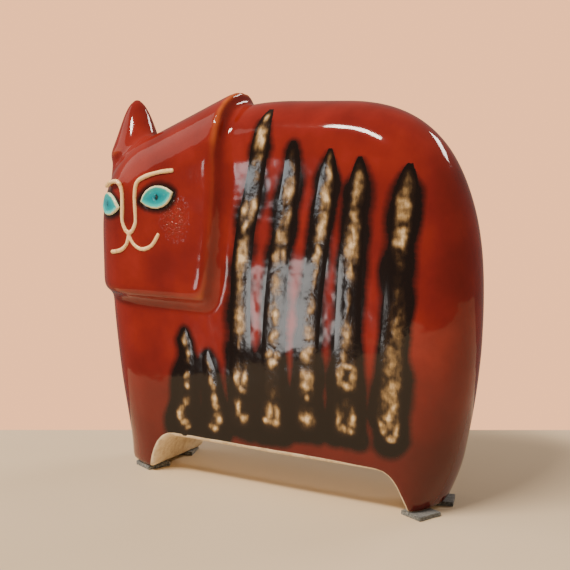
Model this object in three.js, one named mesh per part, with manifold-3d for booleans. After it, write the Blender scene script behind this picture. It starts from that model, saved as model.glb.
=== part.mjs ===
// A glazed stoneware cat: a thick rounded slab body on four short feet, built from
// two pressed halves, with an applied head, rolled ears, inlaid face lines and eyes,
// slip stripes in relief on both sides and felt pads under the feet.
// Frame: millimetres, X along the body with the face end at -X, Y across its thickness
// with the face turned to -Y, Z up, origin on the table under the middle of the box.
import * as THREE from 'three';
import * as BufferGeometryUtils from 'three/addons/utils/BufferGeometryUtils.js';
import Module from 'manifold-3d';

const wasm = await Module();
wasm.setup();

// ---- driving dimensions ----
const frontX = -92.6; // foremost point of the body
const rearX = 94.4; // rearmost point of the body
const backZ = 173.8; // top of the back
const halfThickness = 22; // half the slab's thickness
const wall = 6; // clay wall of the hollow body
const seam = 0.3; // slip joint between the two halves
const fitGap = 0.3; // joint between a laid-on piece and what carries it
const browDrop = 16.3; // body's top at the brow, below the back
const bellyZ = 19; // underside of the belly
const frontFootReach = 32.6; // front foot's inner face, behind the foremost point
const rearFootReach = 23.4; // rear foot's inner face, ahead of the rearmost point
const archLean = 14; // how far the inner faces lean in on the way up
const padHeight = 2; // felt pad
const padSize = 12.6; // its side before the scissors wandered
const padTurn = 0.36; // laid askew, in radians
const padInset = 3; // from the foot's inner face and from the slab's near side
const farFrontInset = 3; // far pads, from the slab's far side
const farRearInset = 7.6; // the rear one lies well in, under its own half
const padSlack = 0.02; // between the felt and the foot
const panelThickness = 5; // belly panel
const panelSetback = 23.5; // its ends, from the feet's inner faces
const panelWidth = 26;
const ventRadius = 4;
const headProud = 5.5; // head's flat cheek in front of the body's side
const headFuller = 2; // head's rounding beyond half the slab's thickness
const headLead = 1.2; // head's face end ahead of the body
const headLength = 73.3; // from its face end to the cheek's back edge at the near ear
const headHeight = 86.8; // from the chin up to the level of the back
const headStop = 13; // the head ends this far short of the slab's far side
const earRise = 3.7; // near ear's tip above the back
const nearEarHeight = 22; // from its joint with the head to its tip
const chinBevel = 4;
const ridgeBevel = 3.5;
const reliefHeight = 1; // stripes stand this far off the side
const inlayProud = 0.5; // face lines and eyes stand this far off the cheek
const inlayDepth = 1; // and are laid this deep into it
const lineWidth = 1.7; // face lines
const eyeLength = 18.6;
const eyeHeight = 11.6;
const noseS = 3.6; // middle of the nose, along the cheek
const noseRise = 27; // nose above the chin
const earLength = 28; // far ear
const earRadius = 14;
const earSetback = 8.3; // its tip behind the head's face end
const earInset = 16; // from the slab's far side
const earDrop = 0.8; // and below the top of the back
const earLeanX = -0.16; // its root leans towards the middle of the head
const earLeanY = -0.2;

// ---- derived places ----
const sideY = -halfThickness; // the body's near side
const archFrontX = frontX + frontFootReach;
const archRearX = rearX - rearFootReach;
const panelLength = archRearX - archFrontX - 2 * panelSetback;
const browZ = backZ - browDrop;
const headSideY = sideY - headProud;
const headFrontX = frontX - headLead;
const headRadius = halfThickness + headFuller;
const headAxisX = headFrontX + headRadius; // axis of the head's rounding
const headAxisY = headSideY + headRadius;
const headStopY = halfThickness - headStop;
const ridgeX = headFrontX + headLength;
const chinZ = backZ - headHeight;
const noseZ = chinZ + noseRise;
const earTipZ = backZ + earRise;
const reach = 150 + rearX - frontX; // cuts run this far, well past the figure
const underground = -40; // outlines run on below the table and are cut off flat

// ---- solids ----
function toSolid(geometry) {
  const bare = geometry.clone();
  bare.deleteAttribute('normal');
  bare.deleteAttribute('uv');
  const merged = BufferGeometryUtils.mergeVertices(bare, 1e-4);
  const mesh = new wasm.Mesh({
    numProp: 3,
    vertProperties: new Float32Array(merged.attributes.position.array),
    triVerts: new Uint32Array(merged.index.array),
  });
  return new wasm.Manifold(mesh);
}

function toGeometry(solid) {
  const mesh = solid.getMesh();
  const geometry = new THREE.BufferGeometry();
  geometry.setAttribute('position', new THREE.BufferAttribute(mesh.vertProperties, 3));
  geometry.setIndex(new THREE.BufferAttribute(mesh.triVerts, 1));
  return geometry;
}

// An outline in X and Z, pushed through the slab along Y from yFrom to yTo.
function prismAcross(shape, yFrom, yTo, curveSegments = 10) {
  const geometry = new THREE.ExtrudeGeometry(shape, {
    depth: yTo - yFrom, bevelEnabled: false, curveSegments,
  });
  geometry.rotateX(Math.PI / 2);
  geometry.translate(0, yTo, 0);
  return toSolid(geometry);
}

function box(x0, x1, y0, y1, z0, z1) {
  const geometry = new THREE.BoxGeometry(x1 - x0, y1 - y0, z1 - z0);
  geometry.translate((x0 + x1) / 2, (y0 + y1) / 2, (z0 + z1) / 2);
  return toSolid(geometry);
}

// A slab whose edges are rounded all the way over, with its middle plane at middleY.
// `grow` moves its whole surface out (or in, when negative).
function pillow(shape, radius, middleY, grow = 0, curveSegments = 12) {
  const flat = 0.4; // the strip between the two roundings
  const geometry = new THREE.ExtrudeGeometry(shape, {
    depth: flat,
    bevelEnabled: true,
    bevelThickness: radius + grow - flat / 2,
    bevelSize: radius,
    bevelOffset: grow - radius,
    bevelSegments: 6,
    curveSegments,
  });
  geometry.rotateX(Math.PI / 2);
  geometry.translate(0, middleY + flat / 2, 0);
  return toSolid(geometry);
}

// ---- outlines, seen from the near side ----
function bodyOutline() {
  const footFront = frontX + 13.3; // the feet stand in from the foremost and rearmost points
  const footRear = rearX - 10.9;
  const chestZ = chinZ + 18; // height of the foremost point
  const rumpZ = backZ / 2 + 1.1; // and of the rearmost
  const shape = new THREE.Shape();
  shape.moveTo(footFront + 4, underground);
  shape.lineTo(footFront, padHeight);
  shape.bezierCurveTo(footFront - 6.7, bellyZ + 11, frontX, chestZ - 39, frontX, chestZ);
  shape.bezierCurveTo(frontX, chestZ + 27, frontX + 10, browZ - 6, frontX + 30, browZ);
  shape.bezierCurveTo(frontX + 56, browZ + 8, ridgeX - 1.5, backZ - 1, ridgeX + 20.5, backZ - 0.3);
  shape.lineTo(rearX - 58.4, backZ);
  shape.bezierCurveTo(rearX - 18.4, backZ, rearX, backZ - 32, rearX, rumpZ);
  shape.bezierCurveTo(rearX, rumpZ - 36, footRear + 3, bellyZ + 3, footRear, padHeight);
  shape.lineTo(footRear - 4, underground);
  return shape;
}

function archOutline() {
  const shape = new THREE.Shape();
  shape.moveTo(archFrontX - 4, underground);
  shape.lineTo(archFrontX, 0);
  shape.bezierCurveTo(archFrontX + 3, bellyZ * 0.7, archFrontX + 6, bellyZ,
    archFrontX + archLean, bellyZ);
  shape.lineTo(archRearX - archLean, bellyZ);
  shape.bezierCurveTo(archRearX - 6, bellyZ, archRearX - 4, bellyZ * 0.6, archRearX, 0);
  shape.lineTo(archRearX + 4, underground);
  return shape;
}

// The head's own outline: brow line rising from the front to the near ear. Behind the ear
// it only has to stay clear of the cheek's cut.
function headOutline() {
  const shape = new THREE.Shape();
  shape.moveTo(headFrontX + 2, underground);
  shape.lineTo(headFrontX, chinZ + 3);
  shape.lineTo(headFrontX, chinZ + 25);
  shape.bezierCurveTo(headFrontX, chinZ + 49, headFrontX + 11, browZ - 5.5, headFrontX + 30, browZ + 1);
  shape.lineTo(ridgeX, earTipZ);
  shape.bezierCurveTo(ridgeX + 40.5, earTipZ + 14, ridgeX + 90.5, backZ - 30, ridgeX + 90.5, chinZ - 7);
  shape.lineTo(ridgeX + 90.5, underground);
  return shape;
}

// The cheek's edge: chin below, ridge behind rising to the near ear.
function cheekOutline() {
  const beyond = 20; // the other edges lie outside the head
  const shape = new THREE.Shape();
  shape.moveTo(headFrontX - beyond, underground);
  shape.lineTo(ridgeX - 19.5, underground);
  shape.lineTo(ridgeX - 11, chinZ - 4);
  shape.bezierCurveTo(ridgeX - 5, chinZ + 1, ridgeX - 5, chinZ + 12, ridgeX - 4, chinZ + 22);
  shape.bezierCurveTo(ridgeX, chinZ + 46, ridgeX, chinZ + 66, ridgeX - 3, backZ - 6);
  shape.lineTo(ridgeX - 4, backZ + beyond);
  shape.lineTo(headFrontX - beyond, backZ + beyond);
  return shape;
}

// ---- the hollow body ----
const bodySolid = pillow(bodyOutline(), halfThickness, 0);
const aboveFeet = box(-reach, reach, -reach, reach, padHeight, reach);
const archCut = prismAcross(archOutline(), -reach, reach, 6);
const bodyHull = bodySolid.intersect(aboveFeet).subtract(archCut);

function bodyCavity() {
  const inner = pillow(bodyOutline(), halfThickness, 0, -wall, 8);
  const aboveFloor = box(-reach, reach, -reach, reach, bellyZ + wall, reach);
  return inner.intersect(aboveFloor);
}

// The belly panel's block, from z0 to z1; the opening it closes is the same block grown.
function panelBlock(grow, z0, z1) {
  const middle = (archFrontX + archRearX) / 2;
  const halfLength = panelLength / 2 + grow;
  const halfWidth = panelWidth / 2 + grow;
  return box(middle - halfLength, middle + halfLength, -halfWidth, halfWidth, z0, z1);
}

function bellyPanel() {
  const vent = new THREE.CylinderGeometry(ventRadius, ventRadius, 4 * panelThickness, 20);
  vent.rotateX(Math.PI / 2);
  vent.translate((archFrontX + archRearX) / 2, 0, bellyZ);
  return panelBlock(0, bellyZ, bellyZ + panelThickness).subtract(toSolid(vent));
}

const bellyOpening = panelBlock(fitGap, bellyZ - wall, bellyZ + 2 * wall);
const bodyShell = bodyHull.subtract(bodyCavity()).subtract(bellyOpening);

function bodyHalf(side) {
  const inner = seam / 2;
  const half = side < 0
    ? box(-reach, reach, -reach, -inner, 0, reach)
    : box(-reach, reach, inner, reach, 0, reach);
  return bodyShell.intersect(half);
}

// ---- the applied head ----
// Its plan wraps the front end, and its lower edge is bevelled under the chin.
function chinPrism() {
  const plan = new THREE.Shape();
  plan.moveTo(ridgeX + 60.5, headAxisY - headRadius);
  plan.lineTo(ridgeX + 60.5, headAxisY + headRadius);
  plan.lineTo(headAxisX, headAxisY + headRadius);
  plan.absarc(headAxisX, headAxisY, headRadius, Math.PI / 2, 3 * Math.PI / 2, false);
  const geometry = new THREE.ExtrudeGeometry(plan, {
    depth: reach,
    bevelEnabled: true,
    bevelThickness: chinBevel,
    bevelSize: headProud,
    bevelOffset: -headProud,
    bevelSegments: 2,
    curveSegments: 16,
  });
  geometry.translate(0, 0, chinZ);
  return toSolid(geometry);
}

function cheekPrism() {
  const depth = 2 * headRadius + headProud;
  const geometry = new THREE.ExtrudeGeometry(cheekOutline(), {
    depth,
    bevelEnabled: true,
    bevelThickness: headProud,
    bevelSize: ridgeBevel,
    bevelOffset: 0,
    bevelSegments: 2,
    curveSegments: 8,
  });
  geometry.rotateX(Math.PI / 2);
  geometry.translate(0, headSideY + headProud + depth, 0);
  return toSolid(geometry);
}

const headPillow = pillow(headOutline(), headRadius, headAxisY);
const bodyClearance = pillow(bodyOutline(), halfThickness, 0, fitGap);

function headSolid() {
  const wrap = box(-reach, reach, -reach, headStopY, 0, reach);
  return headPillow
    .intersect(chinPrism())
    .intersect(cheekPrism())
    .intersect(wrap)
    .subtract(bodyClearance);
}

// ---- ears: the near one is the head's raised back corner, the far one a rolled cone ----
function nearEarBlock(grow) {
  const jointZ = earTipZ - nearEarHeight - grow;
  const shape = new THREE.Shape();
  shape.moveTo(ridgeX - 27 - grow, earTipZ + nearEarHeight);
  shape.lineTo(ridgeX - 19 - grow, jointZ);
  shape.lineTo(ridgeX + 20, jointZ - 8);
  shape.lineTo(ridgeX + 20, earTipZ + nearEarHeight);
  return prismAcross(shape, -reach, reach);
}

function farEar() {
  const profile = [];
  const steps = 7;
  for (let i = 0; i <= steps; i += 1) {
    const t = i / steps; // 0 at the tip, 1 at the root
    profile.push(new THREE.Vector2(earRadius * Math.pow(t, 0.62), -earLength * t));
  }
  profile.push(new THREE.Vector2(0, -earLength));
  const geometry = new THREE.LatheGeometry(profile.reverse(), 18);
  geometry.rotateX(Math.PI / 2);
  geometry.rotateY(earLeanX);
  geometry.rotateX(earLeanY);
  geometry.translate(headFrontX + earSetback, halfThickness - earInset, backZ - earDrop);
  const headClearance = pillow(headOutline(), headRadius, headAxisY, fitGap);
  return toSolid(geometry).subtract(bodyClearance).subtract(headClearance);
}

// ---- face: s runs along the cheek from where it starts to curve, minus round the front ----
function onCheek(s, z, outward = 0) {
  if (s >= 0) return new THREE.Vector3(headAxisX + s, headSideY - outward, z);
  const angle = -s / headRadius;
  const distance = headRadius + outward;
  const x = headAxisX - distance * Math.sin(angle);
  const y = headAxisY - distance * Math.cos(angle);
  return new THREE.Vector3(x, y, z);
}

// A face line laid into the cheek: a clay string along points given from the nose.
function stroke(points, radius) {
  const sunk = inlayProud - lineWidth / 2;
  const curve = new THREE.CatmullRomCurve3(
    points.map(([s, z]) => onCheek(noseS + s, noseZ + z, sunk)),
  );
  const section = new THREE.Shape();
  section.absarc(0, 0, radius, 0, 2 * Math.PI, false);
  const geometry = new THREE.ExtrudeGeometry(section, {
    steps: Math.max(6, Math.round(curve.getLength() / 2.2)),
    curveSegments: 4,
    extrudePath: curve,
  });
  return { solid: toSolid(geometry), ends: [curve.points[0], curve.points.at(-1)] };
}

function joined(solids) {
  return solids.reduce((all, one) => all.add(one));
}

// The eyes' inner corners keep clear of the brow lines however long the eyes are.
const eyes = {
  near_eye: { s: 6.7 + eyeLength / 2, z: 16.5, tilt: 0.27 },
  far_eye: { s: -5.9 - eyeLength / 2, z: 11.8, tilt: -0.12 },
};
const overEye = eyeHeight / 2; // brow lines pass this much higher than the eyes' middles
const nearBrowLine = [
  [6.6 + eyeLength, 23 + overEye], [17.4, 21.9 + overEye], [9.9, 19.8 + overEye], [5, 17 + overEye],
  [3.6, 17], [3.8, 9], [3.8, 4], [2, 0.6],
];
const farBrowLine = [
  [3.4 - eyeLength, 14.2 + overEye], [-10.6, 16.4 + overEye], [-6, 16.6 + overEye],
  [-3.9, 13.2 + overEye], [-3.6, 10], [-3.6, 4], [-1.9, 0.6],
];
const mouthLines = [
  [[0, -1.8], [-1.4, -5.8], [-5, -8.8], [-11.4, -10.1]],
  [[0, -1.8], [2.4, -5.4], [6.8, -7.6], [12.4, -5.8], [16.7, 0]],
];

function faceLine(lines) {
  return joined(lines.map((line) => stroke(line, lineWidth / 2).solid));
}

// The groove is a wider string, with round ends.
function faceGroove(lines) {
  const radius = lineWidth / 2 + fitGap;
  return joined(lines.flatMap((line) => {
    const { solid, ends } = stroke(line, radius);
    const knobs = ends.map((end) => {
      const knob = new THREE.SphereGeometry(radius + 0.05, 8, 6);
      knob.translate(end.x, end.y, end.z);
      return toSolid(knob);
    });
    return [solid, ...knobs];
  }));
}

// An eye: an almond laid into the cheek, its outer corner raised by `tilt`.
function eyeBlock({ s, z, tilt }, grow) {
  const half = eyeLength / 2 + grow;
  const rise = eyeHeight / 2 + grow;
  const depth = 16; // long enough to pass through the cheek's surface
  const shape = new THREE.Shape();
  shape.moveTo(-half, 0);
  shape.bezierCurveTo(-half * 0.62, rise * 1.12, half * 0.42, rise * 1.25, half, 0);
  shape.bezierCurveTo(half * 0.62, -rise * 1.12, -half * 0.42, -rise * 1.25, -half, 0);
  const geometry = new THREE.ExtrudeGeometry(shape, { depth, bevelEnabled: false, curveSegments: 7 });
  geometry.translate(0, 0, -depth / 2);
  geometry.rotateZ(tilt);
  geometry.rotateX(Math.PI / 2);
  geometry.rotateZ(Math.min(0, noseS + s) / headRadius);
  const place = onCheek(noseS + s, noseZ + z);
  geometry.translate(place.x, place.y, place.z);
  return toSolid(geometry);
}

const headSkin = pillow(headOutline(), headRadius, headAxisY, inlayProud);
const headUnder = pillow(headOutline(), headRadius, headAxisY, -inlayDepth);
const headPocketFloor = pillow(headOutline(), headRadius, headAxisY, -inlayDepth - fitGap);

function eye(name) {
  return eyeBlock(eyes[name], 0).intersect(headSkin).subtract(headUnder);
}

function eyePocket(name) {
  return eyeBlock(eyes[name], fitGap).subtract(headPocketFloor);
}

// ---- stripes: slip trailed down the sides in relief, from a thin top to a fuller foot ----
// Their points are shares of the length and height of the area that they run down.
const chest = { x0: headFrontX, x1: ridgeX, z0: bellyZ, z1: chinZ };
const flank = { x0: ridgeX, x1: rearX, z0: bellyZ, z1: backZ };
const stripes = [
  {
    area: chest, top: 3, foot: 6,
    path: [[0.72, 0.735], [0.753, 0.603], [0.748, 0.412], [0.742, 0.265], [0.707, 0.162], [0.754, 0.081]],
  }, {
    area: chest, top: 2.4, foot: 6,
    path: [[0.892, 0.603], [0.933, 0.412], [0.963, 0.279], [0.974, 0.176], [0.932, 0.088]],
  }, {
    area: flank, top: 3.4, foot: 8,
    path: [[0.184, 0.963], [0.187, 0.898], [0.161, 0.769], [0.105, 0.588], [0.093, 0.394],
      [0.091, 0.233], [0.095, 0.078]],
  }, {
    area: flank, top: 3, foot: 9,
    path: [[0.325, 0.879], [0.323, 0.795], [0.286, 0.652], [0.253, 0.472], [0.238, 0.265], [0.238, 0.078]],
  }, {
    area: flank, top: 3.4, foot: 8,
    path: [[0.49, 0.859], [0.469, 0.769], [0.44, 0.62], [0.405, 0.446], [0.386, 0.265], [0.389, 0.097]],
  }, {
    area: flank, top: 4, foot: 9.5,
    path: [[0.612, 0.84], [0.587, 0.73], [0.567, 0.556], [0.558, 0.362], [0.554, 0.097]],
  }, {
    area: flank, top: 4, foot: 10,
    path: [[0.789, 0.827], [0.775, 0.73], [0.76, 0.556], [0.742, 0.297], [0.716, 0.103]],
  },
];

function stripeOutline({ area, path, top, foot }) {
  const points = path.map(([along, up]) => new THREE.Vector2(
    area.x0 + along * (area.x1 - area.x0),
    area.z0 + up * (area.z1 - area.z0),
  ));
  const middle = new THREE.SplineCurve(points);
  const steps = 9;
  const left = [];
  const right = [];
  for (let i = 0; i <= steps; i += 1) {
    const t = i / steps;
    const point = middle.getPoint(t);
    const across = middle.getTangent(t);
    const half = (top + (foot - top) * t) / 2;
    left.push(new THREE.Vector2(point.x + across.y * half, point.y - across.x * half));
    right.push(new THREE.Vector2(point.x - across.y * half, point.y + across.x * half));
  }
  return new THREE.Shape([...left, ...right.reverse()]);
}

const reliefSkin = pillow(bodyOutline(), halfThickness, 0, fitGap + reliefHeight);

function stripe(spec, side) {
  const span = side < 0 ? [-reach, -2] : [2, reach];
  return prismAcross(stripeOutline(spec), ...span).intersect(reliefSkin).subtract(bodyClearance);
}

// ---- felt pads: squares cut by hand, so no two sides are quite alike ----
function pad() {
  const half = padSize / 2;
  const shape = new THREE.Shape();
  shape.moveTo(-half, -half * 0.9);
  shape.lineTo(half * 0.95, -half);
  shape.lineTo(half, half * 0.92);
  shape.lineTo(-half * 0.94, half);
  const geometry = new THREE.ExtrudeGeometry(shape, { depth: padHeight - padSlack, bevelEnabled: false });
  return toSolid(geometry);
}

// ---- assembly ----
const group = new THREE.Group();

function addPiece(name, solid, color, roughness) {
  const material = new THREE.MeshStandardMaterial({ color, roughness, metalness: 0 });
  const mesh = new THREE.Mesh(toGeometry(solid), material);
  mesh.name = name;
  group.add(mesh);
  return mesh;
}

const glaze = [0x8e1a17, 0.12];
const slip = [0xe6d3ae, 0.35];
const turquoise = [0x2ba7ad, 0.2];
const bareClay = [0xd9c7a5, 0.85];
const felt = [0x6f7274, 0.95];

addPiece('near_half', bodyHalf(-1), ...glaze);
addPiece('far_half', bodyHalf(1), ...glaze);
addPiece('belly_panel', bellyPanel(), ...bareClay);

const headWhole = headSolid();
const carvings = [
  faceGroove([nearBrowLine]), faceGroove([farBrowLine]), faceGroove(mouthLines),
  eyePocket('near_eye'), eyePocket('far_eye'),
];
const headCarved = carvings.reduce((solid, cut) => solid.subtract(cut), headWhole);
addPiece('head', headCarved.subtract(nearEarBlock(fitGap)), ...glaze);
addPiece('near_ear', headWhole.intersect(nearEarBlock(0)), ...glaze);
addPiece('far_ear', farEar(), ...glaze);
addPiece('near_brow_line', faceLine([nearBrowLine]), ...slip);
addPiece('far_brow_line', faceLine([farBrowLine]), ...slip);
addPiece('mouth_line', faceLine(mouthLines), ...slip);
addPiece('near_eye', eye('near_eye'), ...turquoise);
addPiece('far_eye', eye('far_eye'), ...turquoise);

stripes.forEach((spec, i) => {
  addPiece(`near_stripe_${i + 1}`, stripe(spec, -1), ...slip);
  addPiece(`far_stripe_${i + 1}`, stripe(spec, 1), ...slip);
});

const padReach = padSize / 2;
const padFrontX = archFrontX - padReach + 0.5;
const padRearX = archRearX + padReach - padInset;
for (const [name, x, inset, side] of [
  ['front_near_pad', padFrontX, padInset, -1], ['front_far_pad', padFrontX, farFrontInset, 1],
  ['rear_near_pad', padRearX, padInset, -1], ['rear_far_pad', padRearX, farRearInset, 1],
]) {
  const mesh = addPiece(name, pad(), ...felt);
  mesh.position.set(x, side * (halfThickness - inset - padReach), 0);
  mesh.rotation.z = side * padTurn;
}

// The origin goes to the middle of the box's underside.
const bounds = new THREE.Box3().setFromObject(group, true);
group.position.set(-(bounds.min.x + bounds.max.x) / 2, -(bounds.min.y + bounds.max.y) / 2, 0);

export default group;
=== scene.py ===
"""Looks of the glazed stoneware cat: one continuous glazed skin over its clay pieces,
slip stripes in relief, inlaid face lines and eyes, bare clay underneath and felt pads."""
import functools
import math
import bmesh
import bpy
import numpy as np
from mathutils import Matrix, Vector, noise
from mathutils.bvhtree import BVHTree
from mathutils.kdtree import KDTree


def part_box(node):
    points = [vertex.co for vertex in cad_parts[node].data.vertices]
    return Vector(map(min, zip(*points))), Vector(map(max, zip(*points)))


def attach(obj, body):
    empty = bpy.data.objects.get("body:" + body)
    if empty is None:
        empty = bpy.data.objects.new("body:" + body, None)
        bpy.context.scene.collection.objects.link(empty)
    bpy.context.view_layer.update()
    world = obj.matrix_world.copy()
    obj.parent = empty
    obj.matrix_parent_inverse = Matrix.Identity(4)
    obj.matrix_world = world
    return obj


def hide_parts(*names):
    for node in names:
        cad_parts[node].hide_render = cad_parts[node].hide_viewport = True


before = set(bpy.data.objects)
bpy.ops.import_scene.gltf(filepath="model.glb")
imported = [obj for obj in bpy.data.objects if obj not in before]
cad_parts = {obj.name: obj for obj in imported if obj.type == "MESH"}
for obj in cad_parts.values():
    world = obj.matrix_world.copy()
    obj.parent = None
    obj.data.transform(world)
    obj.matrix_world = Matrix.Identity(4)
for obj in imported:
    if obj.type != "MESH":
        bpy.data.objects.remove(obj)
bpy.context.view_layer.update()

MM = 0.001
STRIPES = 7
STRIPE_NODES = [f"{side}_stripe_{i}" for side in ("near", "far") for i in range(1, STRIPES + 1)]
POINTED_SHARE = 0.12  # of a stripe's length draws in to its pointed top
SKIN_VOXEL = 1.02 * MM
FINE_VOXEL = 0.28 * MM

# Places that the frame gives.
near_lo, near_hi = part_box("near_half")
far_lo, far_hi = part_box("far_half")
head_lo, head_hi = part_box("head")
ear_lo, ear_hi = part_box("far_ear")
panel_lo, panel_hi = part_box("belly_panel")
SIDE_NEAR = near_lo.y
SIDE_FAR = far_hi.y
MIDDLE_Y = (SIDE_NEAR + SIDE_FAR) / 2
BELLY_Z = panel_lo.z
FOOT_Z = near_lo.z
EAR_TIP = Vector((ear_lo.x + 9.4 * MM, ear_lo.y + 19.2 * MM, ear_hi.z))


# ---------------------------------------------------------------- meshes

def link(name, mesh):
    obj = bpy.data.objects.new(name, mesh)
    bpy.context.scene.collection.objects.link(obj)
    return obj


def mesh_from(bm, name):
    mesh = bpy.data.meshes.new(name)
    bm.to_mesh(mesh)
    bm.free()
    return mesh


def merged_copy(nodes, shifts=None):
    """A bmesh of copies of CAD nodes with their loose triangles welded."""
    bm = bmesh.new()
    for node in nodes:
        before = len(bm.verts)
        bm.from_mesh(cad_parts[node].data)
        bm.verts.ensure_lookup_table()
        if shifts and node in shifts:
            bmesh.ops.translate(bm, vec=shifts[node], verts=bm.verts[before:])
    bmesh.ops.remove_doubles(bm, verts=bm.verts, dist=1e-6)
    return bm


def remeshed(mesh, voxel, name):
    """One closed surface round everything in the mesh, inner walls gone."""
    obj = link(name, mesh)
    modifier = obj.modifiers.new("voxels", "REMESH")
    modifier.mode = "VOXEL"
    modifier.voxel_size = voxel
    depsgraph = bpy.context.evaluated_depsgraph_get()
    result = bpy.data.meshes.new_from_object(obj.evaluated_get(depsgraph))
    bpy.data.objects.remove(obj)
    result.name = name
    return result


def points_of(mesh):
    co = np.empty(len(mesh.vertices) * 3)
    mesh.vertices.foreach_get("co", co)
    return co.reshape(-1, 3)


def normals_of(mesh):
    no = np.empty(len(mesh.vertices) * 3)
    mesh.vertices.foreach_get("normal", no)
    return no.reshape(-1, 3)


def put_points(mesh, co):
    mesh.vertices.foreach_set("co", co.ravel())
    mesh.update()


def neighbour_mean(mesh):
    """A function that gives each vertex the mean of its neighbours' rows."""
    edges = np.empty(len(mesh.edges) * 2, dtype=np.int64)
    mesh.edges.foreach_get("vertices", edges)
    a, b = edges.reshape(-1, 2).T
    count = len(mesh.vertices)
    degree = np.bincount(a, minlength=count) + np.bincount(b, minlength=count)

    def mean(rows):
        total = np.empty_like(rows)
        for k in range(rows.shape[1]):
            total[:, k] = np.bincount(a, rows[b, k], count) + np.bincount(b, rows[a, k], count)
        return total / degree[:, None]
    return mean


def relax(mesh, rounds, weight=1.0, pull=0.5):
    """Smooths a mesh by pulling each vertex towards its neighbours, as wet fingers do."""
    mean = neighbour_mean(mesh)
    co = points_of(mesh)
    strength = pull * np.broadcast_to(np.asarray(weight, dtype=float), len(co))[:, None]
    for _ in range(rounds):
        co += strength * (mean(co) - co)
    put_points(mesh, co)


def smooth_values(mesh, values, rounds):
    mean = neighbour_mean(mesh)
    rows = values[:, None].copy()
    for _ in range(rounds):
        rows = 0.5 * rows + 0.5 * mean(rows)
    return rows[:, 0]


def step(low, high, x):
    t = np.clip((x - low) / (high - low), 0.0, 1.0)
    return t * t * (3 - 2 * t)


def distance_to(targets, co):
    """Distance from each row of co to the nearest of the target points."""
    tree = KDTree(len(targets))
    for i, point in enumerate(targets):
        tree.insert(point, i)
    tree.balance()
    return np.array([tree.find(p)[2] for p in co])


def spread_points(bm, spacing):
    """Points along the edges of a bmesh, no further apart than the spacing."""
    points = []
    for edge in bm.edges:
        a, b = (v.co for v in edge.verts)
        pieces = max(1, math.ceil((b - a).length / spacing))
        points += [a.lerp(b, i / pieces) for i in range(pieces + 1)]
    return points


def lumps(co, size, seed):
    """Smooth noise from -1 to 1 whose lumps are about the given size."""
    shift = Vector((seed * 7.1, seed * 3.7, seed * 5.3))
    return np.array([noise.noise(Vector(p) / size + shift) for p in co])


def put_attribute(mesh, name, values):
    layer = mesh.attributes.new(name, "FLOAT", "POINT")
    layer.data.foreach_set("value", values.astype(np.float32))


def shade_smooth(mesh):
    mesh.polygons.foreach_set("use_smooth", [True] * len(mesh.polygons))


# ---------------------------------------------------------------- materials

NOISE = "ShaderNodeTexNoise"
MAPPING = "ShaderNodeMapping"
MATH = "ShaderNodeMath"
RAMP = "ShaderNodeValToRGB"
RANGE = "ShaderNodeMapRange"
MIX = "ShaderNodeMix"
ATTRIBUTE = "ShaderNodeAttribute"
BUMP = "ShaderNodeBump"
BACKGROUND = "ShaderNodeBackground"
MIXED_COLOUR = 2  # the Mix node's colour output; its colour inputs are 6 and 7


def rgba(code):
    """An sRGB hex colour as linear RGBA."""
    channels = [int(code[i:i + 2], 16) / 255 for i in (1, 3, 5)]
    linear = [c / 12.92 if c <= 0.04045 else ((c + 0.055) / 1.055) ** 2.4 for c in channels]
    return (*linear, 1.0)


def add(tree, kind, settings=None, links=None):
    """Adds a node, with its properties, socket values, ramp stops and incoming links."""
    node = tree.nodes.new(kind)
    for key, value in (settings or {}).items():
        if key == "stops":
            elements = node.color_ramp.elements
            while len(elements) < len(value):
                elements.new(0.5)
            for element, (position, code) in zip(elements, value):
                element.position = position
                element.color = rgba(code)
        elif isinstance(key, str) and hasattr(node, key):
            setattr(node, key, value)
        else:
            node.inputs[key].default_value = value
    for key, source in (links or {}).items():
        tree.links.new(source, node.inputs[key])
    return node


def new_material(name, roughness, ior=1.5):
    """A material with one shader; gives what adds a node to it and the object coordinates."""
    material = bpy.data.materials.new(name)
    material.use_nodes = True
    tree = material.node_tree
    tree.nodes.clear()
    shader = add(tree, "ShaderNodeBsdfPrincipled", {"Roughness": roughness, "IOR": ior})
    add(tree, "ShaderNodeOutputMaterial", links={"Surface": shader.outputs[0]})
    place = add(tree, "ShaderNodeTexCoord").outputs["Object"]
    return material, functools.partial(add, tree), shader, place


def give(material, shader, **sources):
    """Links finished patterns to the shader's sockets, named with _ for a space."""
    for socket, source in sources.items():
        material.node_tree.links.new(source, shader.inputs[socket.replace("_", " ")])
    return material


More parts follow.
